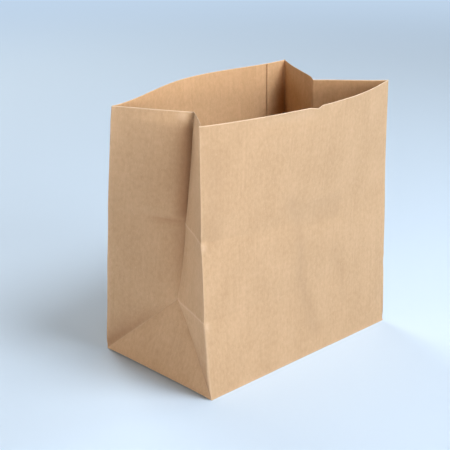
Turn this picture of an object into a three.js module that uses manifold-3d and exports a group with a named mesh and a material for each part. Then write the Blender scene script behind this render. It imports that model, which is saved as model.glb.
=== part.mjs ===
// Kraft paper carrier bag: a self-opening, block-bottom bag folded from one gusseted tube of paper.
// It stands open and empty, as it does after it has been shaken out once and set down.
//
// Millimetres. The bag stands on z = 0 with the origin at the middle of its base. X runs along the two
// wide panels, -Y is the front panel and +Y the back panel. A gusset closes each short side.
// Every point of the walls is first a place on the flat sheet, and keeps its distances when folded:
// a distance along the sheet's width, and a height h along the sheet above the base fold.

import * as THREE from "three";
import { mergeVertices } from "three/addons/utils/BufferGeometryUtils.js";
import Module from "manifold-3d";

// The sheet and the base
const bagWidth = 280;
const bagDepth = 170;
const bagHeight = 290;
const paper = 0.15;

// The tube's lap seam, down the back panel near its right fold
const seamLap = 20;
const seamToFold = 31;
const seamEdge = 0.15;
const seamEasing = 10;

// The block bottom: how far its two long flaps lap, and how gently the lower one rises onto the other
const baseLap = 20;
const baseEasing = 8;

// The mouth: how far each wide panel bows out, and how the bow grows with height
const frontBow = 25;
const frontBowSkew = 0.08;
const backBow = 22;
const bowPower = 1.5;

// How far each upright fold leans inwards at the foot crease, at the rest crease and at the rim:
// along is towards the middle of the wide panel, inward is towards the opposite panel
const leanFrontLeft = { along: [0, 2, 5], inward: [9, 15, 20] };
const leanFrontRight = { along: [0, 0, 1], inward: [3.5, 7, 7] };
const leanBackRight = { along: [1, 4, 9], inward: [3.5, 9, 14] };
const leanBackLeft = { along: [-1, -3, -5], inward: [7.5, 14.5, 29] };

// The small nick in the front rim, measured along the sheet from the left fold
const nickAt = 141;
const nickLead = 12;
const nickStep = 6;
const nickDepth = 2.6;

// Facets of the folded sheet
const panelFacets = 12;
const foldFacets = 4;
const upperFacets = 5;
const climbSteps = 24;

// The bag is stored flat with its bottom folded up against the front panel. That presses two level
// creases into it: the foot crease, half the depth up, and the rest crease, a whole depth up.
const footCrease = bagDepth / 2;
const restCrease = bagDepth;
const flapLength = bagDepth / 2 + baseLap / 2;

function betweenCreases(values, h) {
  const heights = [0, footCrease, restCrease, bagHeight];
  const reached = [0, ...values];
  let band = 0;
  while (band < 2 && h > heights[band + 1]) {
    band += 1;
  }
  const share = (h - heights[band]) / (heights[band + 1] - heights[band]);
  return THREE.MathUtils.lerp(reached[band], reached[band + 1], share);
}

function uprightFold(sideX, sideY, lean) {
  return (h) => new THREE.Vector2(
    sideX * (bagWidth / 2 - betweenCreases(lean.along, h)),
    sideY * (bagDepth / 2 - betweenCreases(lean.inward, h)),
  );
}

const folds = {
  frontLeft: uprightFold(-1, -1, leanFrontLeft),
  frontRight: uprightFold(1, -1, leanFrontRight),
  backRight: uprightFold(1, 1, leanBackRight),
  backLeft: uprightFold(-1, 1, leanBackLeft),
};

// A line of the sheet that starts upright from the base: its plan is known at each height along the
// sheet, and it climbs by whatever length the plan leaves over
function climb(plan, from, to, z = 0) {
  let place = plan(from);
  let level = z;
  for (let step = 1; step <= climbSteps; step += 1) {
    const next = plan(THREE.MathUtils.lerp(from, to, step / climbSteps));
    const length = (to - from) / climbSteps;
    level += Math.sqrt(Math.max(0, length ** 2 - next.distanceToSquared(place)));
    place = next;
  }
  return new THREE.Vector3(place.x, place.y, level);
}

// The wide panels bow outwards between their two folds
function frontBulge(share) {
  return frontBow * 4 * share * (1 - share) * (1 + frontBowSkew * (2 * share - 1));
}

function backBulge(share) {
  return backBow * Math.sin(Math.PI * share) ** 2;
}

function panelPoint(start, end, bulge, outward, share, h) {
  const plan = (height) => {
    const place = start(height).lerp(end(height), share);
    place.y += outward * bulge(share) * (height / bagHeight) ** bowPower;
    return place;
  };
  return climb(plan, 0, h);
}

// A gusset's middle crease is pushed in until both halves of the gusset reach from fold to fold
function gussetMiddle(front, back, sideX) {
  return (h) => {
    const a = front(h);
    const b = back(h);
    const halfSpan = a.distanceTo(b) / 2;
    const tuck = Math.sqrt(Math.max(0, (bagDepth / 2) ** 2 - halfSpan ** 2));
    const inwards = new THREE.Vector2(b.y - a.y, a.x - b.x).normalize();
    if (inwards.x * sideX > 0) {
      inwards.negate();
    }
    return a.clone().add(b).multiplyScalar(0.5).addScaledVector(inwards, tuck);
  };
}

// Below the foot crease a gusset has a triangle that leans in from the base edge to an apex on the
// middle crease, and a diagonal fold from each base corner to that apex
function gussetPoint(front, back, sideX, fromFold, nearFront, h) {
  const fold = nearFront ? front : back;
  const middle = gussetMiddle(front, back, sideX);
  const apex = middle(footCrease);
  const apexInset = bagWidth / 2 - sideX * apex.x;
  const apexLevel = Math.sqrt(footCrease ** 2 - apexInset ** 2);
  const onTriangle = (distance, height) => new THREE.Vector3(
    sideX * (bagWidth / 2 - apexInset * height / footCrease),
    (nearFront ? -1 : 1) * (bagDepth / 2 - distance) + apex.y * height / footCrease,
    apexLevel * height / footCrease,
  );
  if (h < footCrease && fromFold >= h) {
    return onTriangle(fromFold, h);
  }
  const outer = climb(fold, 0, h);
  const inner = h < footCrease
    ? onTriangle(h, h)
    : climb(middle, footCrease, h, apexLevel);
  const reach = Math.min(h, footCrease);
  return outer.lerp(inner, fromFold / reach);
}

// Columns of the sheet, once round the bag from the front left fold. Each knows its point at a height,
// the height of its rim, which way its squares are halved, and how deep its two faces lie: the outer
// face at 0 and the inner face one paper in, save at the lap seam.
function evenly(count) {
  return Array.from({ length: count }, (_, index) => index / count);
}

function column(point, details = {}) {
  return { point, rim: bagHeight, rising: true, outer: 0, inner: paper, ...details };
}

function frontRim(distance) {
  if (distance <= nickAt) {
    return bagHeight - nickDepth * Math.max(0, 1 - (nickAt - distance) / nickLead);
  }
  return bagHeight - nickDepth * Math.max(0, 1 - (distance - nickAt) / nickStep);
}

function frontColumns() {
  const nick = [nickAt - nickLead, nickAt, nickAt + nickStep].map((distance) => distance / bagWidth);
  const clear = (share) => nick.every((place) => Math.abs(place - share) > 0.5 * nickStep / bagWidth);
  const shares = [...evenly(panelFacets).filter(clear), ...nick].sort((a, b) => a - b);
  return shares.map((share) => column(
    (h) => panelPoint(folds.frontLeft, folds.frontRight, frontBulge, -1, share, h),
    { rim: frontRim(share * bagWidth) },
  ));
}

function backColumns() {
  const outerEdge = seamToFold - seamLap;
  const seam = [
    { at: Math.max(outerEdge - seamEasing, outerEdge / 4), outer: 0, inner: paper },
    { at: outerEdge - seamEdge, outer: paper, inner: 2 * paper },
    { at: outerEdge, outer: 0, inner: 2 * paper },
    { at: seamToFold, outer: 0, inner: 2 * paper },
    { at: seamToFold + seamEdge, outer: 0, inner: paper },
  ];
  const plain = evenly(panelFacets)
    .map((share) => ({ at: share * bagWidth, outer: 0, inner: paper }))
    .filter(({ at }) => at === 0 || at > seamToFold + seamEasing);
  return [...plain, ...seam].sort((a, b) => a.at - b.at).map(({ at, outer, inner }) => column(
    (h) => panelPoint(folds.backRight, folds.backLeft, backBulge, 1, at / bagWidth, h),
    { outer, inner },
  ));
}

function gussetColumns(front, back, sideX, startsAtFront) {
  const halfGusset = (nearFront, shares, rising) => shares.map((share) => column(
    (h) => gussetPoint(front, back, sideX, share * bagDepth / 2, nearFront, h),
    { rising },
  ));
  const outward = evenly(foldFacets);
  const inward = outward.map((share) => 1 - share);
  return [
    ...halfGusset(startsAtFront, outward, true),
    ...halfGusset(!startsAtFront, inward, false),
  ];
}

const columns = [
  ...frontColumns(),
  ...gussetColumns(folds.frontRight, folds.backRight, 1, true),
  ...backColumns(),
  ...gussetColumns(folds.frontLeft, folds.backLeft, -1, false),
];

// Rows of the sheet, with one on each level crease
function rowHeights(rim) {
  return [
    ...evenly(foldFacets).map((share) => share * footCrease),
    ...evenly(foldFacets).map((share) => THREE.MathUtils.lerp(footCrease, restCrease, share)),
    ...evenly(upperFacets).map((share) => THREE.MathUtils.lerp(restCrease, rim, share)),
    rim,
  ];
}

// The four sides as one closed wall of paper, open above and below
function foldedWall() {
  const grid = columns.map(({ point, rim }) => rowHeights(rim).map(point));
  const around = grid.length;
  const rows = grid[0].length;
  const halves = (c, r) => {
    const d = (c + 1) % around;
    return columns[c].rising
      ? [[[c, r], [d, r], [d, r + 1]], [[c, r], [d, r + 1], [c, r + 1]]]
      : [[[c, r], [d, r], [c, r + 1]], [[d, r], [d, r + 1], [c, r + 1]]];
  };
  const touching = grid.map((line) => line.map(() => []));
  for (let c = 0; c < around; c += 1) {
    for (let r = 0; r < rows - 1; r += 1) {
      for (const corners of halves(c, r)) {
        const triangle = new THREE.Triangle(...corners.map(([i, j]) => grid[i][j]));
        const normal = triangle.getNormal(new THREE.Vector3());
        corners.forEach(([i, j]) => touching[i][j].push(normal));
      }
    }
  }
  const inwards = touching.map((line) => line.map((normals, r) => {
    const sum = normals.reduce((total, normal) => total.add(normal), new THREE.Vector3());
    if (r === 0) {
      sum.z = 0;
    }
    sum.normalize();
    const steepest = Math.min(...normals.map((normal) => normal.dot(sum)));
    return sum.multiplyScalar(-1 / Math.max(steepest, 0.4));
  }));
  const face = (depth) => grid.map((line, c) => line.map(
    (place, r) => place.clone().addScaledVector(inwards[c][r], columns[c][depth]),
  ));
  const positions = [...face("outer"), ...face("inner")].flat().flatMap((place) => place.toArray());
  const outerAt = ([c, r]) => c * rows + r;
  const innerAt = ([c, r]) => (around + c) * rows + r;
  const indices = [];
  for (let c = 0; c < around; c += 1) {
    const d = (c + 1) % around;
    for (let r = 0; r < rows - 1; r += 1) {
      for (const [first, second, third] of halves(c, r)) {
        indices.push(outerAt(first), outerAt(second), outerAt(third));
        indices.push(innerAt(first), innerAt(third), innerAt(second));
      }
    }
    const top = rows - 1;
    indices.push(outerAt([c, top]), outerAt([d, top]), innerAt([d, top]));
    indices.push(outerAt([c, top]), innerAt([d, top]), innerAt([c, top]));
    indices.push(outerAt([c, 0]), innerAt([d, 0]), outerAt([d, 0]));
    indices.push(outerAt([c, 0]), innerAt([c, 0]), innerAt([d, 0]));
  }
  const geometry = new THREE.BufferGeometry();
  geometry.setAttribute("position", new THREE.Float32BufferAttribute(positions, 3));
  geometry.setIndex(indices);
  return geometry;
}

// The block bottom, from the ground up: the front flap laps over the back flap, their turned-under
// corners lie on them, and a side flap from each gusset lies on top, inside the bag
function extruded(points, thickness) {
  const outline = new THREE.Shape(points.map(([x, y]) => new THREE.Vector2(x, y)));
  return new THREE.ExtrudeGeometry(outline, { depth: thickness, bevelEnabled: false });
}

function longFlaps() {
  const edge = bagDepth / 2 - paper / 2;
  const lap = baseLap / 2;
  const eased = lap + baseEasing;
  const section = [
    [-edge, 0], [lap, 0], [lap, paper], [eased, 0], [edge, 0],
    [edge, paper], [eased, paper], [lap, 2 * paper], [-lap, 2 * paper], [-lap, paper], [-edge, paper],
  ];
  const length = bagWidth - paper;
  const geometry = extruded(section, length);
  geometry.applyMatrix4(new THREE.Matrix4().makeBasis(
    new THREE.Vector3(0, 1, 0),
    new THREE.Vector3(0, 0, 1),
    new THREE.Vector3(1, 0, 0),
  ));
  return geometry.translate(-length / 2, 0, 0);
}

function turnedCorner(sideX, sideY) {
  const cornerX = bagWidth / 2 - paper / 2;
  const cornerY = bagDepth / 2 - paper / 2;
  const place = (alongX, alongY) => [sideX * (cornerX - alongX), sideY * (cornerY - alongY)];
  const corners = [place(0, 0), place(flapLength, 0), place(flapLength, flapLength)];
  const outline = sideX * sideY > 0 ? corners : corners.reverse();
  return extruded(outline, paper).translate(0, 0, paper);
}

function sideFlap(sideX, front, back) {
  const apex = gussetPoint(front, back, sideX, footCrease, true, footCrease);
  const lean = (bagWidth / 2 - sideX * apex.x) / apex.z;
  const edge = bagWidth / 2 - 2.5 * paper * lean - paper / 2;
  const end = bagWidth / 2 - flapLength;
  const halfDepth = bagDepth / 2 - paper / 2;
  const [low, high] = [sideX * edge, sideX * end].sort((a, b) => a - b);
  const outline = [[low, -halfDepth], [high, -halfDepth], [high, halfDepth], [low, halfDepth]];
  return extruded(outline, paper).translate(0, 0, 2 * paper);
}

// Under each short side only the side flap closes the bottom: the long flaps end on the diagonals
function sideWindow(sideX) {
  const beyond = bagWidth / 2 + 1;
  const corner = bagDepth / 2 + 1;
  const apexX = bagWidth / 2 - bagDepth / 2;
  const outline = [[sideX * beyond, -corner], [sideX * beyond, corner], [sideX * apexX, 0]];
  const depth = 2 * paper + 1;
  return extruded(sideX > 0 ? outline : outline.reverse(), depth).translate(0, 0, -1);
}

// Joining
const wasm = await Module();
wasm.setup();

function solid(geometry) {
  geometry.deleteAttribute("normal");
  geometry.deleteAttribute("uv");
  const merged = mergeVertices(geometry);
  return new wasm.Manifold(new wasm.Mesh({
    numProp: 3,
    vertProperties: new Float32Array(merged.attributes.position.array),
    triVerts: new Uint32Array(merged.index.array),
  }));
}

function closedGeometry(manifold) {
  const mesh = manifold.getMesh();
  const geometry = new THREE.BufferGeometry();
  geometry.setAttribute("position", new THREE.Float32BufferAttribute(mesh.vertProperties, 3));
  geometry.setIndex(new THREE.Uint32BufferAttribute(mesh.triVerts, 1));
  geometry.computeVertexNormals();
  return geometry;
}

function foldedBag() {
  const bottom = [
    longFlaps(),
    turnedCorner(-1, -1),
    turnedCorner(1, -1),
    turnedCorner(1, 1),
    turnedCorner(-1, 1),
    sideFlap(-1, folds.frontLeft, folds.backLeft),
    sideFlap(1, folds.frontRight, folds.backRight),
  ];
  const joined = bottom.reduce((body, flap) => body.add(solid(flap)), solid(foldedWall()));
  return closedGeometry([-1, 1].reduce((body, side) => body.subtract(solid(sideWindow(side))), joined));
}

const kraft = new THREE.MeshStandardMaterial({ color: 0xc8a47a, roughness: 0.88, metalness: 0 });

const bag = new THREE.Group();
const sheet = new THREE.Mesh(foldedBag(), kraft);
sheet.name = "folded_bag";
bag.add(sheet);

export default bag;
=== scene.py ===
"""A kraft paper bag without handles, standing open on a pale floor.

The script follows the bag as it is made: the flat sheet with its fold lines, the folding, the marks of
handling, the paper itself, and then the place where it stands. Lengths are in metres.
"""

import math

import bmesh
import bpy
import numpy as np
from mathutils import Matrix, Vector, noise


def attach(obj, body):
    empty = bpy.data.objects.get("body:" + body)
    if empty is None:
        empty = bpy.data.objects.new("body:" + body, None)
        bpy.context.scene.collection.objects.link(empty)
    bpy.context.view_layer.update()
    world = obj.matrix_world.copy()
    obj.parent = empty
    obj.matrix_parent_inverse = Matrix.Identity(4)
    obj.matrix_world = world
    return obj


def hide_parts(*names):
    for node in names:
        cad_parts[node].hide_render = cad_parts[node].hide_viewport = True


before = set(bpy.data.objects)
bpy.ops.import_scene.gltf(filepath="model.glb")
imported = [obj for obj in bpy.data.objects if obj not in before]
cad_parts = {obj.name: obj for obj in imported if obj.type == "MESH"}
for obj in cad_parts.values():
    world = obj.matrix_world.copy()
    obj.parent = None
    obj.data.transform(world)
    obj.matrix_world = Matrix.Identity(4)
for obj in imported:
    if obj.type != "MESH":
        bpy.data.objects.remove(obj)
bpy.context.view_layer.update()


# The sheet. One web of brown kraft paper of about 100 g/m2, glued into a tube by a lap seam down the back
# panel and cut to length. Here it is still flat: x runs round the tube from the back right fold, first
# over the right gusset, then the front panel, the left gusset and the back panel, and y up from the base.
width = 0.280
depth = 0.170
height = 0.290
paper = 0.00015
lap = 0.020
seam_to_fold = 0.031
base_lap = 0.020
flap = depth / 2 + base_lap / 2
cell = 0.0035
fold_radius = 0.0005
rim_highlight_band = 0.0011

right_fold = 0.0
right_middle = depth / 2
front_right = depth
front_left = depth + width
left_middle = depth + width + depth / 2
back_left = 2 * depth + width
outer_end = 2 * depth + 2 * width - (seam_to_fold - lap)
inner_end = -seam_to_fold
covered = lap - seam_to_fold
foot = depth / 2
rest = depth

nick_at = front_left - 0.141
nick_lead = 0.012
nick_step = 0.006
nick_depth = 0.0026
nick_from = 0.250


def cut(sheet, where, along, only=lambda centre: True, drop_outer=False):
    """Cut a straight line into the flat sheet, through where and in the direction along. Only the faces
    with a wanted centre are cut, and drop_outer takes away what lies right of the line."""
    faces = [face for face in sheet.faces if only(face.calc_center_median())]
    edges = dict.fromkeys(edge for face in faces for edge in face.edges)
    verts = dict.fromkeys(vert for face in faces for vert in face.verts)
    bmesh.ops.bisect_plane(
        sheet, geom=[*verts, *edges, *faces], dist=1e-6, plane_co=(*where, 0),
        plane_no=(along[1], -along[0], 0), clear_outer=drop_outer,
    )


def creased(sheet, where, along, only=lambda centre: True):
    """A fold line, with a close line on each side of it for the paper to turn round."""
    across = Vector((along[1], -along[0])).normalized()
    for offset in (-2.0, -1.0, 0.0, 1.0, 2.0):
        place = Vector(where) + across * offset * fold_radius
        cut(sheet, place, along, only)


def cut_away(sheet, unwanted):
    """Take away the faces whose centre is unwanted."""
    faces = [face for face in sheet.faces if unwanted(face.calc_center_median())]
    bmesh.ops.delete(sheet, geom=faces, context="FACES")


def flat_sheet():
    """The blank, cut to size, with its fold lines pressed in."""
    spare_inside, spare_outside = 0.004, 0.006
    low = Vector((inner_end - spare_inside, -flap))
    high = Vector((outer_end + spare_outside, height))
    middle = (low + high) / 2
    span = high - low
    sheet = bmesh.new()
    bmesh.ops.create_grid(
        sheet, x_segments=round(span.x / cell), y_segments=round(span.y / cell), size=0.5,
        matrix=Matrix.Translation((*middle, 0)) @ Matrix.Diagonal((span.x, span.y, 1, 1)),
    )
    cut(sheet, (inner_end, 0), (0, -1), drop_outer=True)
    cut(sheet, (outer_end, 0), (0, 1), drop_outer=True)
    for x in (right_fold, right_middle, front_right, front_left, left_middle, back_left):
        creased(sheet, (x, 0), (0, 1))
    for y in (0, foot, rest):
        creased(sheet, (0, y), (1, 0))
    # Lines for the rim's painted highlight band, and for the paper that rises beside the rest crease.
    for y in (height - rim_highlight_band, rest + 0.0015, rest + 0.003, rest + 0.005):
        cut(sheet, (0, y), (1, 0))
    for start in (right_fold, front_left):
        near = lambda c, a=start: a < c.x < a + depth / 2 and 0 < c.y < foot
        far = lambda c, a=start: a + depth / 2 < c.x < a + depth and 0 < c.y < foot
        creased(sheet, (start, 0), (1, 1), near)
        creased(sheet, (start + depth, 0), (-1, 1), far)
    for x in (nick_at - nick_step, nick_at, nick_at + nick_lead):
        cut(sheet, (x, 0), (0, 1), lambda c: front_right < c.x < front_left and c.y > rest)
    # The long flaps' corners are turned in flat, and the seam's inner layer lies against the outer one. Both
    # would only double the paper of the base.
    for start, end in ((front_right, front_left), (back_left, back_left + width), (-width, right_fold)):
        below = lambda c, a=start, b=end: a < c.x < b and c.y < 0
        cut(sheet, (start, 0), (1, -1), below)
        cut(sheet, (end, 0), (-1, -1), below)
        cut_away(sheet, lambda c: below(c) and min(c.x - start, end - c.x) < -c.y)
    cut(sheet, (covered, 0), (0, 1), lambda c: c.x < 0 and c.y < 0)
    cut_away(sheet, lambda c: c.x < covered and c.y < 0)
    return sheet


# The folding. The tube's gussets are pushed in, the block bottom is folded shut and glued, and the bag
# has been shaken open: its wide panels bow out at the mouth, its upright folds lean in.
front_bow = 0.025
back_bow = 0.022
opening_from = 0.268


def lean(values, y):
    """How far an upright fold leans at height y along the sheet: at the foot, the rest crease, the rim."""
    return np.interp(y, (0, foot, rest, height), (0, *values))


def upright(side_x, side_y, along, inward, y):
    """Plan of an upright fold at height y along the sheet. Along and inward say how far it leans along the
    wide panel and across the gusset."""
    return (
        side_x * (width / 2 - lean(along, y)),
        side_y * (depth / 2 - lean(inward, y)),
    )


# The four upright folds. Each leans by its own amounts at the foot crease, the rest crease and the rim.
def front_left_fold(y):
    return upright(-1, -1, (0, 0.002, 0.005), (0.009, 0.015, 0.020), y)


def front_right_fold(y):
    return upright(1, -1, (0, 0, 0.001), (0.0035, 0.007, 0.007), y)


def back_right_fold(y):
    return upright(1, 1, (0.001, 0.004, 0.009), (0.0035, 0.009, 0.014), y)


def back_left_fold(y):
    return upright(-1, 1, (-0.001, -0.003, -0.005), (0.0075, 0.0145, 0.029), y)


def climb(plan, start, y, level=0.0):
    """Follow a line of the sheet up from start to y: it rises by the length its plan leaves over."""
    steps = 24
    x0, y0 = plan(start + np.zeros_like(y))
    step = (y - start) / steps
    for index in range(1, steps + 1):
        x1, y1 = plan(start + step * index)
        level = level + np.sqrt(np.maximum(step ** 2 - (x1 - x0) ** 2 - (y1 - y0) ** 2, 0))
        x0, y0 = x1, y1
    return np.stack([x0, y0, level], axis=-1)


def wide_panel(left, right, bulge, outward, share, y):
    """A wide panel between its two folds, share of the way from left to right."""
    def plan(at):
        ax, ay = left(at)
        bx, by = right(at)
        bow = outward * bulge(share) * (np.maximum(at, 0) / height) ** 1.5
        return ax + (bx - ax) * share, ay + (by - ay) * share + bow
    return climb(plan, 0.0, y)


def front_bulge(share):
    """The front panel bows out as one wide arch, a little fuller towards the right."""
    return front_bow * 4 * share * (1 - share) * (1 + 0.08 * (2 * share - 1))


def back_bulge(share):
    """The back panel bows out in its middle and stays straight near its folds."""
    return back_bow * np.sin(math.pi * share) ** 2


def gusset(front, back, side_x, from_front, y):
    """A gusset, from_front its distance round from the front fold. Its middle crease is pushed in as far
    as both halves reach. Below the foot crease a triangle leans in from the base edge to that crease."""
    def middle(at):
        ax, ay = front(at)
        bx, by = back(at)
        half = np.hypot(bx - ax, by - ay) / 2
        tuck = np.sqrt(np.maximum((depth / 2) ** 2 - half ** 2, 0))
        nx, ny = (by - ay) / (2 * half), (ax - bx) / (2 * half)
        return (ax + bx) / 2 - side_x * abs(nx) * tuck, (ay + by) / 2 - side_x * np.sign(nx) * ny * tuck

    apex_x, apex_y = middle(np.array(foot))
    inset = width / 2 - side_x * apex_x
    level = math.sqrt(foot ** 2 - inset ** 2)
    nearest = np.minimum(from_front, depth - from_front)
    in_front = from_front <= depth / 2
    sign = np.where(in_front, -1, 1)

    def on_triangle(distance, at):
        return np.stack([
            side_x * (width / 2 - inset * at / foot),
            sign * (depth / 2 - distance) + apex_y * at / foot,
            level * at / foot,
        ], axis=-1)

    outer = np.where(in_front[:, None], climb(front, 0.0, y), climb(back, 0.0, y))
    above = climb(middle, foot, np.maximum(y, foot), level)
    inner = np.where((y < foot)[:, None], on_triangle(y, y), above)
    share = nearest / np.maximum(np.minimum(y, foot), 1e-6)
    folded = outer + (inner - outer) * share[:, None]
    return np.where((nearest >= y)[:, None], on_triangle(nearest, y), folded)


def flap_level(y, side_y):
    """Height of a long bottom flap's outer face: the back flap rises over the edge of the front one."""
    front_edge = base_lap / 2
    over = np.interp(y, (front_edge, front_edge + 0.008), (paper, 0))
    return np.where(side_y > 0, over, 0)


def bottom(x, drop):
    """The block bottom: where a point goes that lies drop beyond the base folds."""
    right = (x < front_right) & (x >= right_fold)
    left = (x >= front_left) & (x < back_left)
    front = (x >= front_right) & (x < front_left)
    from_front = np.where(left, x - front_left, depth - x)
    side = np.where(right, 1.0, -1.0)
    side_flap = np.stack([side * (width / 2 - drop), -depth / 2 + from_front, 2 * paper + 0 * x], -1)
    along = np.where(front, x - front_right, np.where(x < right_fold, -x, back_left + width - x))
    along = np.clip(along, 0, width)
    facing = np.where(front, -1.0, 1.0)
    from_end = np.minimum(along, width - along)
    turned = from_end < drop
    across = np.where(turned, from_end, drop)
    run = np.where(turned, np.where(along < width / 2, drop, width - drop), along)
    px = width / 2 - run
    py = facing * (depth / 2 - across)
    long_flap = np.stack([px, py, flap_level(py, facing)], -1)
    return np.where((left | right)[:, None], side_flap, long_flap)


def folded(x, y):
    """Where a point of the flat sheet goes when the bag is folded and stands open."""
    up = np.maximum(y, 0)
    right = gusset(front_right_fold, back_right_fold, 1, np.clip(depth - x, 0, depth), up)
    left = gusset(front_left_fold, back_left_fold, -1, np.clip(x - front_left, 0, depth), up)
    share = np.clip((front_left - x) / width, 0, 1)
    front = wide_panel(front_left_fold, front_right_fold, front_bulge, -1, share, up)
    from_right = np.where(x < right_fold, -x, back_left + width - x)
    share = np.clip(1 - from_right / width, 0, 1)
    back = wide_panel(back_left_fold, back_right_fold, back_bulge, 1, share, up)
    place = np.where((x < front_right)[:, None], right, front)
    place = np.where((x >= front_left)[:, None], left, place)
    place = np.where(((x >= back_left) | (x < right_fold))[:, None], back, place)
    return np.where((y < 0)[:, None], bottom(x, -y), place)


def turn_radius(x, y):
    """How widely the paper turns at a fold: tightly, but the gussets' middles open out at the rim."""
    opening = np.clip((y - opening_from) / (height - opening_from), 0, 1) ** 2
    near_left = np.exp(-((x - left_middle) / 0.03) ** 2)
    near_right = np.exp(-((x - right_middle) / 0.03) ** 2)
    standing = np.clip(1 + y / (2 * fold_radius), 0, 1)
    return standing * (fold_radius + opening * (0.008 * near_left + 0.005 * near_right))


def rounded(x, y):
    """The folded sheet with its folds turned round the paper's own stiffness."""
    radius = turn_radius(x, y)
    total = 0
    place = 0
    for i in (-1, -0.67, -0.33, 0, 0.33, 0.67, 1):
        for j in (-1, 0, 1):
            weight = (1 + math.cos(math.pi * i * 0.8)) * (2 if j == 0 else 1)
            place = place + weight * folded(x + i * radius, y + j * fold_radius)
            total += weight
    return place / total


# What folding, storing and handling left in the paper, as heights off the folded sheet: outwards is more.
# A fold keeps some of its pressed angle, so the paper leaves it more steeply than the panel it belongs to.
def memory(distance, reach):
    """Nothing at the fold, 1 at reach from it, and dying away beyond."""
    ratio = np.maximum(distance, 0) / reach
    return ratio * np.exp(1 - ratio)


def between(y, low, high):
    """0 at low, 1 at high, smoothly."""
    share = np.clip((y - low) / (high - low), 0, 1)
    return share * share * (3 - 2 * share)


def upright_memory(x, y):
    """The upright folds: how far each side of each one swings, and within what reach."""
    rising = between(y, foot, height)
    pinched = (0.35 + 0.65 * between(y, rest - 0.004, rest + 0.012)) * between(y, foot, foot + 0.02)
    pinched = pinched * (1 - 0.85 * between(y, 0.274, height))
    # the fold, which side of it, how far that side swings out, within what reach, how it grows upwards
    swings = (
        (front_left, 1, -0.0023, 0.020, rising ** 2),
        (front_left, -1, 0.0003, 0.012, rising),
        (left_middle, -1, 0.0016, 0.012, pinched),
        (left_middle, 1, 0.0058, 0.018, pinched),
        (back_left, -1, -0.0012, 0.015, rising),
        (back_left, 1, -0.0008, 0.015, rising),
        (right_fold, 1, -0.0014, 0.015, rising),
        (right_middle, -1, 0.0028, 0.012, rising),
        (right_middle, 1, 0.0006, 0.012, rising),
        (front_right, -1, -0.0010, 0.015, rising),
        (front_right, 1, -0.0006, 0.012, rising),
    )
    total = 0
    for fold, side, swing, reach, growth in swings:
        total = total + swing * growth * memory(side * (x - fold), reach)
    return total


def diagonal_memory(x, y):
    """The valley folds round each gusset's foot triangle: the paper above them swings out, and less so the
    triangle's own."""
    above_swing, above_reach = 0.0024, 0.016
    below_swing, below_reach = 0.0006, 0.007
    total = 0
    for start in (right_fold, front_left):
        nearest = np.minimum(x - start, start + depth - x)
        inside = (nearest > 0) & (y > 0)
        over = between(y, 0, 0.012) * (1 - between(y, foot - 0.02, foot + 0.03))
        above = above_swing * memory((y - nearest) * math.sqrt(0.5), above_reach)
        below = below_swing * memory((nearest - y) * math.sqrt(0.5), below_reach)
        total = total + np.where(inside, over * (above + below), 0)
    return total


def from_line(x, y, points):
    """Distance from a line of a few points on the flat sheet."""
    best = np.full(np.shape(x), 10.0)
    for (ax, ay), (bx, by) in zip(points, points[1:]):
        run, rise = bx - ax, by - ay
        share = np.clip(((x - ax) * run + (y - ay) * rise) / (run ** 2 + rise ** 2), 0, 1)
        best = np.minimum(best, np.hypot(x - ax - share * run, y - ay - share * rise))
    return best


def on_front(*points):
    """Places on the front panel, given from its left fold, as places on the flat sheet."""
    return [(front_left - along, up) for along, up in points]


long_streak = on_front(
    (0.115, 0.186), (0.129, 0.160), (0.135, 0.130), (0.137, 0.094), (0.149, 0.061), (0.163, 0.026),
)
short_streak = on_front((0.190, 0.112), (0.199, 0.094), (0.213, 0.047))
rest_line = on_front((0, 0.1695), (0.036, 0.168), (0.114, 0.163), (0.148, 0.157), (0.196, 0.151))


def streaks(x, y):
    """Two soft valleys down the front panel, where it buckled as the bag was opened."""
    total = 0
    for line, half_width, sunk in ((long_streak, 0.008, 0.0010), (short_streak, 0.006, 0.0004)):
        total = total - sunk * np.exp(-(from_line(x, y, line) / half_width) ** 2)
    return total


def level_creases(x, y):
    """The rest crease, where the folded-up bottom lay on the front panel, and the foot crease."""
    rest_sunk, foot_sunk = 0.0008, 0.00018
    half_ridge = 0.0012
    left_back_sunk, right_sunk = 0.0015, 0.0005
    front = (x > front_right) & (x < front_left)
    pressed = np.exp(-from_line(x, y, rest_line) / 0.009)
    foot_crease = np.exp(-np.abs(y - foot) / 0.006)
    over_line = y - rest - 0.0015
    one_sided = np.where(over_line > 0, np.exp(-over_line / 0.007), np.exp(over_line / 0.003))
    from_crease = x - left_middle
    on_gusset = one_sided * between(from_crease, 0, 0.004) * (1 - between(from_crease, 0.02, 0.062))
    front_halves = ((x > front_left) & (x < left_middle)) | ((x > right_middle) & (x < front_right))
    ridged = np.exp(-np.abs(y - rest) / 0.009) + np.exp(-np.abs(y - foot) / 0.008)
    right = (x > right_fold) & (x < front_right)
    on_right = np.exp(-((y - rest) / 0.003) ** 2) * memory(np.abs(x - right_middle), 0.03)
    return (
        np.where(front, -rest_sunk * pressed - foot_sunk * foot_crease, 0) - left_back_sunk * on_gusset
        + half_ridge * np.where(front_halves, ridged, 0) - right_sunk * np.where(right, on_right, 0)
    )


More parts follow.
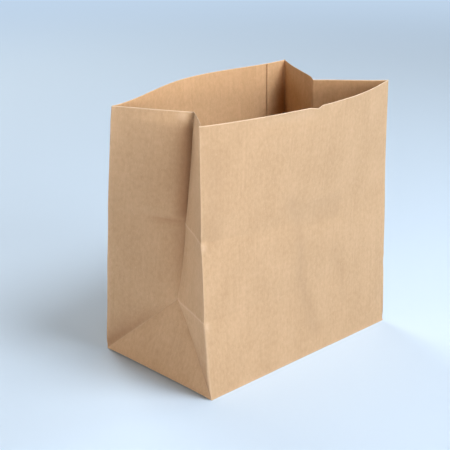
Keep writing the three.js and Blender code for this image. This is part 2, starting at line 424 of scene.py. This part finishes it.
def dents(x, y):
    """Dents and bulges, most where a level crease meets an upright fold."""
    # where round the tube, where up the sheet, how wide, how high, how far out
    places = (
        (front_left - 0.002, rest + 0.003, 0.006, 0.004, -0.0010),
        (front_left - 0.003, rest - 0.004, 0.005, 0.004, 0.0008),
        (front_left - 0.001, foot + 0.003, 0.005, 0.004, -0.0008),
        (front_left - 0.005, foot - 0.012, 0.005, 0.012, 0.0008),
        (front_right, foot - 0.012, 0.008, 0.008, -0.0009),
        (front_right, 0.020, 0.012, 0.030, -0.0013),
        (front_right, 0.145, 0.014, 0.045, 0.0010),
        (back_left, foot, 0.030, 0.050, 0.0012),
        (left_middle, foot + 0.005, 0.040, 0.045, 0.0020),
        (back_left + width - 0.004, foot, 0.010, 0.008, -0.0008),
        (left_middle + 0.012, 0.284, 0.007, 0.005, 0.0017),
        (nick_at + 0.035, 0.283, 0.045, 0.008, -0.0009),
        (front_left - 0.155, 0.168, 0.040, 0.016, -0.0006),
    )
    total = 0
    for at_x, at_y, wide, high, rise in places:
        total = total + rise * np.exp(-((x - at_x) / wide) ** 2 - ((y - at_y) / high) ** 2)
    return total


def cockle(x, y):
    """Slow waves and small ones all over, less near the folds and the base."""
    slow_rise, small_rise = 0.0009, 0.00022
    folds = (right_fold, right_middle, front_right, front_left, left_middle, back_left, back_left + width)
    clear = np.min([np.abs(x - fold) for fold in folds], axis=0)
    free = between(clear, 0, 0.02) * between(y, 0, 0.06)
    slow = np.array([noise.noise((a * 13, b * 9, 3.1)) for a, b in zip(x, y)])
    small = np.array([noise.noise((a * 60, b * 26, 8.7)) for a, b in zip(x, y)])
    return free * (slow_rise * slow + small_rise * small)


def seam_layer(x):
    """The lap seam: the end of the web that lies inside sits one paper deeper, its free edge a little off."""
    glue = 0.00004
    edge_lift = 0.0006
    inside = between(-x, -covered - 0.003, -covered)
    lifted = between(-x, seam_to_fold - 0.004, seam_to_fold)
    return np.where(x < 0, -(paper + glue) * inside - edge_lift * lifted, 0)


def handled(x, y):
    """How far each place of the sheet stands off its folded place."""
    standing = between(y, 0, 0.004)
    worn = upright_memory(x, y) + diagonal_memory(x, y) + streaks(x, y) + level_creases(x, y)
    worn = worn + dents(x, y) + cockle(x, y)
    return standing * worn + np.where(y > 0, seam_layer(x), 0)


def base_lift(x, y):
    """The short sides' base edges stand a hair off the ground between their corners."""
    hollow = 0.0010
    total = 0
    for start in (right_fold, front_left):
        share = np.clip((x - start) / depth, 0, 1)
        fade = np.where(y > 0, np.exp(-np.abs(y) / 0.03), np.exp(-np.abs(y) / 0.04))
        total = total + hollow * (1 - np.abs(2 * share - 1) ** 5) * fade
    return total


# The flat blank is cut, its grain noted as a UV map, and then it is folded up with all its marks.
sheet = flat_sheet()
flat = np.array([vert.co[:2] for vert in sheet.verts])
grain = sheet.loops.layers.uv.new("sheet")
for face in sheet.faces:
    for loop in face.loops:
        loop[grain].uv = loop.vert.co.xy

nick = np.interp(flat[:, 0], (nick_at - nick_step, nick_at, nick_at + nick_lead), (0, nick_depth, 0))
trimmed = flat[:, 1] - nick * np.clip((flat[:, 1] - nick_from) / (height - nick_from), 0, 1)
for vert, place in zip(sheet.verts, rounded(flat[:, 0], trimmed)):
    vert.co = place
# The paper's outer side is the one that the front panel turns to the front, which is -Y.
bmesh.ops.recalc_face_normals(sheet, faces=sheet.faces)
front_faces = [face for face in sheet.faces if face.calc_center_median().y < -0.06]
if sum(face.normal.y * face.calc_area() for face in front_faces) > 0:
    bmesh.ops.reverse_faces(sheet, faces=sheet.faces)
sheet.normal_update()
for vert, rise, lift in zip(sheet.verts, handled(flat[:, 0], trimmed), base_lift(flat[:, 0], flat[:, 1])):
    vert.co = vert.co + vert.normal * rise + Vector((0, 0, lift))

bag_mesh = bpy.data.meshes.new("kraft_bag")
sheet.to_mesh(bag_mesh)
sheet.free()
bag_mesh.shade_smooth()
bag = bpy.data.objects.new("kraft_bag", bag_mesh)
bpy.context.scene.collection.objects.link(bag)
wall = bag.modifiers.new("paper", "SOLIDIFY")
wall.thickness = paper
wall.offset = -1


# The paper: unbleached kraft, uncoated and matt. Its fibres lie mostly along the web, which shows as fine
# ribs up the bag, with darker flecks, pale fibres and a cloudy tone. Folds are worn lighter along their
# crests;
# bulges and some crease lines carry painted highlights, and the folds' valleys carry painted shade. The inner
# side is painted lighter as painted light, the rim has a painted highlight and the cut edge is pale.
around, up = flat[:, 0], flat[:, 1]
line_width = 0.0012


def spot(at_x, at_y, wide, high):
    """A soft round place on the sheet: 1 at its middle."""
    return np.exp(-((around - at_x) / wide) ** 2 - ((up - at_y) / high) ** 2)


# Lighter: the upright folds and the wide panels' base folds are worn lighter; the level creases on the
# gussets' front halves are partly worn and partly a painted highlight; the small bulges at the front left
# fold, beside the nick and at the left gusset's rim carry painted highlights.
wear_and_highlights = np.zeros(len(flat))
for fold in (right_fold, front_right, front_left, back_left, back_left + width):
    wear_and_highlights = np.maximum(wear_and_highlights, np.exp(-((around - fold) / line_width) ** 2) * (up > 0))
on_wide = ((around > front_right) & (around < front_left)) | (around > back_left) | (around < right_fold)
wear_and_highlights = np.maximum(wear_and_highlights, np.exp(-(up / line_width) ** 2) * on_wide)
# Lighter lines at the level creases of the gussets' front halves: partly worn paper, partly painted
# highlight.
for start in (right_middle, front_left):
    in_front = (around > start) & (around < start + depth / 2)
    for level in (foot, rest):
        wear_and_highlights = np.maximum(wear_and_highlights, 1.6 * np.exp(-((up - level) / 0.0010) ** 2) * in_front)
for level in (foot, rest):
    # Painted highlights on small bulges: at the front left fold, beside the nick and at the left gusset's
    # rim.
    wear_and_highlights = np.maximum(wear_and_highlights, 1.8 * spot(front_left - 0.0025, level - 0.004, 0.0030, 0.0045))
wear_and_highlights = np.maximum(wear_and_highlights, 0.6 * spot(nick_at + 0.030, 0.284, 0.030, 0.006) * on_wide)
wear_and_highlights = np.maximum(wear_and_highlights, 1.9 * spot(left_middle + 0.0115, 0.2850, 0.0045, 0.0040))

# Painted shade, darker: the back sides of the gussets' middle creases, the rest crease beside them, and the
# corners over the foot triangles' diagonal folds, whose own lines are light.
painted_shade = np.zeros(len(flat))
for fold, side in ((right_middle, -1), (left_middle, 1)):
    off_crease = side * (around - fold)
    valley = np.where(off_crease > 0, np.exp(-(off_crease / 0.012) ** 2), np.exp(off_crease / line_width))
    strength = 0.45 + 0.55 * between(up, rest - 0.004, rest + 0.012)
    strength = between(up, foot + 0.012, rest - 0.03) * strength
    painted_shade = np.maximum(painted_shade, valley * strength * (1 - between(up, opening_from, opening_from + 0.014)))
    level_band = np.exp(-((up - rest - 0.001) / 0.005) ** 2) * (1 - between(off_crease, 0.008, 0.055))
    painted_shade = np.maximum(painted_shade, 0.55 * level_band * (off_crease > 0))
for start in (right_fold, front_left):
    nearest = np.minimum(around - start, start + depth - around)
    off_diagonal = (up - nearest) * math.sqrt(0.5)
    on_wall = (nearest > 0) & (up > 0) & (up < foot + 0.01)
    wear_and_highlights = np.maximum(wear_and_highlights, 0.8 * np.exp(-(off_diagonal / 0.0010) ** 2) * on_wall)
    corner = np.where(off_diagonal > 0, np.exp(-off_diagonal / 0.020), 0)
    corner = corner * between(off_diagonal, 0, 0.002) * (1 - between(up, 0.010, 0.085))
    painted_shade = np.maximum(painted_shade, 1.1 * corner * on_wall)

# A painted highlight along the rim, strongest on the front panel and the left gusset.
rim_highlight_share = np.where((around > right_middle) & (around < back_left), 1.0, 0.25)
rim = (up > height - rim_highlight_band / 2) * rim_highlight_share

# A little darker: along where the front panel buckled and over a patch at its rest crease; and painted
# shade on a strip beside its left fold.
darker_marks_and_shade = np.exp(-(from_line(around, up, long_streak) / 0.010) ** 2)
darker_marks_and_shade = np.maximum(darker_marks_and_shade, 0.4 * np.exp(-(from_line(around, up, short_streak) / 0.008) ** 2))
dark_patch_x, dark_patch_y = front_left - 0.155, 0.169
dark_patch_half_width, dark_patch_half_height, dark_patch_edge = 0.042, 0.017, 0.004
dark_patch_wide = between(dark_patch_half_width - np.abs(around - dark_patch_x), 0, dark_patch_edge)
dark_patch_high = between(dark_patch_half_height - np.abs(up - dark_patch_y), 0, dark_patch_edge)
darker_marks_and_shade = np.maximum(darker_marks_and_shade, 0.6 * dark_patch_wide * dark_patch_high)
# Painted shade on a strip beside the front left fold.
painted_shade_strip = np.exp(-((around - front_left + 0.015) / 0.014) ** 2)
painted_shade_strip = painted_shade_strip * between(up, 0.150, 0.185) * (1 - between(up, 0.240, 0.278))
darker_marks_and_shade = np.maximum(darker_marks_and_shade, 0.9 * painted_shade_strip * (around < front_left))
for name, values in (("wear_and_highlight_mark", wear_and_highlights), ("painted_shade_mark", painted_shade), ("darker_marks_and_shade", darker_marks_and_shade), ("rim", rim)):
    layer = bag_mesh.attributes.new(name, "FLOAT", "POINT")
    layer.data.foreach_set("value", values.astype(np.float32))

kraft = bpy.data.materials.new("kraft")
kraft.use_nodes = True
nodes = kraft.node_tree.nodes
links = kraft.node_tree.links
shader = nodes["Principled BSDF"]
on_sheet = nodes.new("ShaderNodeUVMap")
on_sheet.uv_map = "sheet"


def noise_over(across, along, detail, roughness=0.5):
    """Noise over the sheet, with so many grains to the metre across the web and along it."""
    scaled = nodes.new("ShaderNodeMapping")
    scaled.inputs["Scale"].default_value = (across, along, 1)
    links.new(on_sheet.outputs["UV"], scaled.inputs["Vector"])
    grain = nodes.new("ShaderNodeTexNoise")
    grain.noise_dimensions = "2D"
    grain.inputs["Scale"].default_value = 1
    grain.inputs["Detail"].default_value = detail
    grain.inputs["Roughness"].default_value = roughness
    links.new(scaled.outputs["Vector"], grain.inputs["Vector"])
    return grain.outputs["Fac"]


def worked(operation, *values, clamp=False):
    """A Math node on sockets and numbers."""
    made = nodes.new("ShaderNodeMath")
    made.operation = operation
    made.use_clamp = clamp
    for socket, value in zip(made.inputs, values):
        if isinstance(value, (int, float)):
            socket.default_value = value
        else:
            links.new(value, socket)
    return made.outputs[0]


def swing(value, amount):
    """A noise turned into a tone of amount either side of nothing."""
    return worked("MULTIPLY_ADD", value, 2 * amount, -amount)


def mark(name):
    """One of the marks painted on the sheet."""
    made = nodes.new("ShaderNodeAttribute")
    made.attribute_name = name
    return made.outputs["Fac"]


def stained(colour, tint, amount):
    """The colour so far, turned towards a tint."""
    mix = nodes.new("ShaderNodeMix")
    mix.data_type = "RGBA"
    links.new(amount, mix.inputs["Factor"])
    if isinstance(colour, tuple):
        mix.inputs["A"].default_value = colour
    else:
        links.new(colour, mix.inputs["A"])
    mix.inputs["B"].default_value = tint
    return mix.outputs["Result"]


ribs = noise_over(420, 5, 2)
fibres = noise_over(1500, 220, 3, 0.6)
formation = noise_over(260, 170, 4, 0.65)
cloud = noise_over(34, 20, 3)
light_kraft = (0.605, 0.412, 0.248, 1)
dark_kraft = (0.508, 0.336, 0.192, 1)
fleck_brown = (0.330, 0.210, 0.118, 1)
pale_fibre = (0.700, 0.535, 0.360, 1)
wear_and_highlight_tint = (0.73, 0.55, 0.375, 1)
painted_shade_tint = (0.33, 0.165, 0.080, 1)
darker_marks_and_shade_tint = (0.42, 0.28, 0.165, 1)
rim_highlight_tint = (0.86, 0.70, 0.52, 1)
edge_colour = (0.66, 0.51, 0.35, 1)

tone = worked("ADD", swing(formation, 0.75), swing(cloud, 0.50))
tone = worked("ADD", tone, swing(ribs, 0.28))
tone = worked("ADD", tone, swing(fibres, 0.35))
tone = worked("ADD", tone, 0.45, clamp=True)
colour = stained(light_kraft, dark_kraft, tone)
flecks = worked("MULTIPLY", worked("SUBTRACT", noise_over(1100, 520, 1), 0.745), 5, clamp=True)
colour = stained(colour, fleck_brown, flecks)
hairs = worked("MULTIPLY", worked("SUBTRACT", noise_over(2600, 260, 1), 0.70), 6, clamp=True)
colour = stained(colour, pale_fibre, hairs)
# Marks on the sheet: worn paper with painted highlights lightens, painted shade darkens, the darker marks
# darken, and the rim gets a painted highlight.
for name, tint, strength in (
    ("wear_and_highlight_mark", wear_and_highlight_tint, 0.35),
    ("painted_shade_mark", painted_shade_tint, 0.62),
    ("darker_marks_and_shade", darker_marks_and_shade_tint, 0.28),
    ("rim", rim_highlight_tint, 0.9),
):
    colour = stained(colour, tint, worked("MULTIPLY", mark(name), strength))
links.new(colour, shader.inputs["Base Color"])

relief = worked("ADD", worked("MULTIPLY", fibres, 0.6), worked("MULTIPLY", ribs, 0.8))
relief = worked("ADD", relief, worked("MULTIPLY", formation, 1.0))
bump = nodes.new("ShaderNodeBump")
bump.inputs["Strength"].default_value = 0.5
bump.inputs["Distance"].default_value = 0.00012
links.new(relief, bump.inputs["Height"])
links.new(bump.outputs["Normal"], shader.inputs["Normal"])
links.new(worked("MULTIPLY_ADD", formation, 0.16, 0.76), shader.inputs["Roughness"])
shader.inputs["Specular IOR Level"].default_value = 0.35
bag_mesh.materials.append(kraft)

# The inner side is painted lighter and a touch more saturated: painted light for the bag's inside.
kraft_inside_painted_lighter = kraft.copy()
kraft_inside_painted_lighter.name = "kraft_inside_painted_lighter"
inside_nodes = kraft_inside_painted_lighter.node_tree.nodes
inside_links = kraft_inside_painted_lighter.node_tree.links
painted_lighter = inside_nodes.new("ShaderNodeHueSaturation")
painted_lighter.inputs["Saturation"].default_value = 1.03
painted_lighter.inputs["Value"].default_value = 1.17
base_colour = inside_nodes["Principled BSDF"].inputs["Base Color"]
inside_links.new(base_colour.links[0].from_socket, painted_lighter.inputs["Color"])
inside_links.new(painted_lighter.outputs["Color"], base_colour)
bag_mesh.materials.append(kraft_inside_painted_lighter)
wall.material_offset = 1

cut_edge = bpy.data.materials.new("kraft_cut_edge")
cut_edge.use_nodes = True
cut_edge.node_tree.nodes["Principled BSDF"].inputs["Roughness"].default_value = 0.95
cut_edge.node_tree.nodes["Principled BSDF"].inputs["Base Color"].default_value = edge_colour
bag_mesh.materials.append(cut_edge)
wall.material_offset_rim = 2

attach(bag, "root")
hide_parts("folded_bag")


# The place: a plain pale floor that runs into an even, pale backdrop all round. The floor is lit near the
# bag and turns into the backdrop's own glow further out, so no edge shows from any side.
floor_radius = 2.3
fade_from = 1.2
floor_colour = (0.590, 0.735, 0.905, 1)
backdrop_radius = 6.0
backdrop_height = 4.0
backdrop_colour = (0.53, 0.67, 0.84, 1)

floor_mesh = bpy.data.meshes.new("floor")
ground = bmesh.new()
bmesh.ops.create_circle(ground, cap_ends=True, segments=96, radius=floor_radius)
ground.to_mesh(floor_mesh)
ground.free()
floor = bpy.data.objects.new("floor", floor_mesh)
bpy.context.scene.collection.objects.link(floor)

backdrop_mesh = bpy.data.meshes.new("backdrop")
sweep = bmesh.new()
bmesh.ops.create_circle(sweep, cap_ends=False, segments=96, radius=floor_radius)
outer_edges = sweep.edges[:]
for scale, climb_by in ((backdrop_radius / floor_radius, 0), (1, backdrop_height)):
    grown = bmesh.ops.extrude_edge_only(sweep, edges=outer_edges)["geom"]
    new_verts = [part for part in grown if isinstance(part, bmesh.types.BMVert)]
    outer_edges = [edge for edge in sweep.edges if set(edge.verts) <= set(new_verts)]
    bmesh.ops.scale(sweep, vec=(scale, scale, 1), verts=new_verts)
    bmesh.ops.translate(sweep, vec=(0, 0, climb_by), verts=new_verts)
sweep.to_mesh(backdrop_mesh)
sweep.free()
backdrop = bpy.data.objects.new("backdrop", backdrop_mesh)
bpy.context.scene.collection.objects.link(backdrop)
backdrop.visible_diffuse = False
backdrop.visible_glossy = False
backdrop.visible_shadow = False

pale = bpy.data.materials.new("pale_floor")
pale.use_nodes = True
floor_nodes = pale.node_tree.nodes
floor_links = pale.node_tree.links
floor_nodes["Principled BSDF"].inputs["Base Color"].default_value = floor_colour
floor_nodes["Principled BSDF"].inputs["Roughness"].default_value = 0.9
on_floor = floor_nodes.new("ShaderNodeTexCoord")
distance_out = floor_nodes.new("ShaderNodeVectorMath")
distance_out.operation = "LENGTH"
floor_links.new(on_floor.outputs["Object"], distance_out.inputs[0])
fade = floor_nodes.new("ShaderNodeMapRange")
fade.interpolation_type = "SMOOTHSTEP"
fade.inputs["From Min"].default_value = fade_from
fade.inputs["From Max"].default_value = floor_radius
floor_links.new(distance_out.outputs["Value"], fade.inputs["Value"])
glow = floor_nodes.new("ShaderNodeEmission")
glow.inputs["Color"].default_value = backdrop_colour
blended = floor_nodes.new("ShaderNodeMixShader")
floor_links.new(fade.outputs["Result"], blended.inputs["Fac"])
floor_links.new(floor_nodes["Principled BSDF"].outputs["BSDF"], blended.inputs[1])
floor_links.new(glow.outputs["Emission"], blended.inputs[2])
floor_links.new(blended.outputs["Shader"], floor_nodes["Material Output"].inputs["Surface"])
floor_mesh.materials.append(pale)
backdrop_mesh.materials.append(pale)


# The lights: large soft ones on the front, the right, above and behind, and two low reflectors that send
# warm light back on to the left gusset.
neutral = (1.0, 1.0, 1.0)
soft_warm = (1.0, 0.97, 0.91)
warm = (1.0, 0.86, 0.76)
# name, compass bearing from the bag and height over the floor in degrees, distance, width, height, watts
lights = (
    ("front_bank", 172, 30, 1.9, 1.0, 1.0, 13, neutral),
    ("right_bank", 105, 30, 3.4, 1.5, 1.5, 20, neutral),
    ("top_softbox", 160, 60, 1.7, 0.8, 0.8, 20.5, neutral),
    ("back_bank", 12, 38, 2.8, 1.4, 1.4, 38.5, soft_warm),
    ("left_reflector", 224, 12, 1.4, 1.0, 0.2, 7.4, warm),
    ("back_left_reflector", 320, 0, 1.9, 1.2, 0.2, 14, warm),
)
target = Vector((0, 0, 0.12))
for name, bearing, rise, distance, wide, high, power, tint in lights:
    turn, tilt = math.radians(bearing), math.radians(rise)
    away = Vector((math.sin(turn) * math.cos(tilt), math.cos(turn) * math.cos(tilt), math.sin(tilt)))
    light = bpy.data.lights.new(name, "AREA")
    light.shape = "ELLIPSE" if wide == high else "RECTANGLE"
    light.size = wide
    light.size_y = high
    light.energy = power
    light.color = tint
    lamp = bpy.data.objects.new(name, light)
    lamp.location = target + away * distance
    lamp.rotation_euler = away.to_track_quat("Z", "Y").to_euler()
    lamp.visible_camera = False
    bpy.context.scene.collection.objects.link(lamp)

world = bpy.data.worlds.new("sky")
world.use_nodes = True
world.node_tree.nodes["Background"].inputs["Color"].default_value = (0.86, 0.93, 1.0, 1)
world.node_tree.nodes["Background"].inputs["Strength"].default_value = 0.02
bpy.context.scene.world = world
bpy.context.scene.view_settings.view_transform = "Standard"


# The camera stands to the front left of the bag and above it, and looks down about 21 degrees, as the
# photograph was taken.
lens = bpy.data.cameras.new("camera")
lens.sensor_width = 36
lens.lens = 98.2
camera = bpy.data.objects.new("camera", lens)
camera.location = (-0.9118, -0.9024, 0.6196)
camera.rotation_euler = (math.radians(90 - 20.72), math.radians(0.13), math.radians(-44.15))
bpy.context.scene.collection.objects.link(camera)
bpy.context.scene.camera = camera
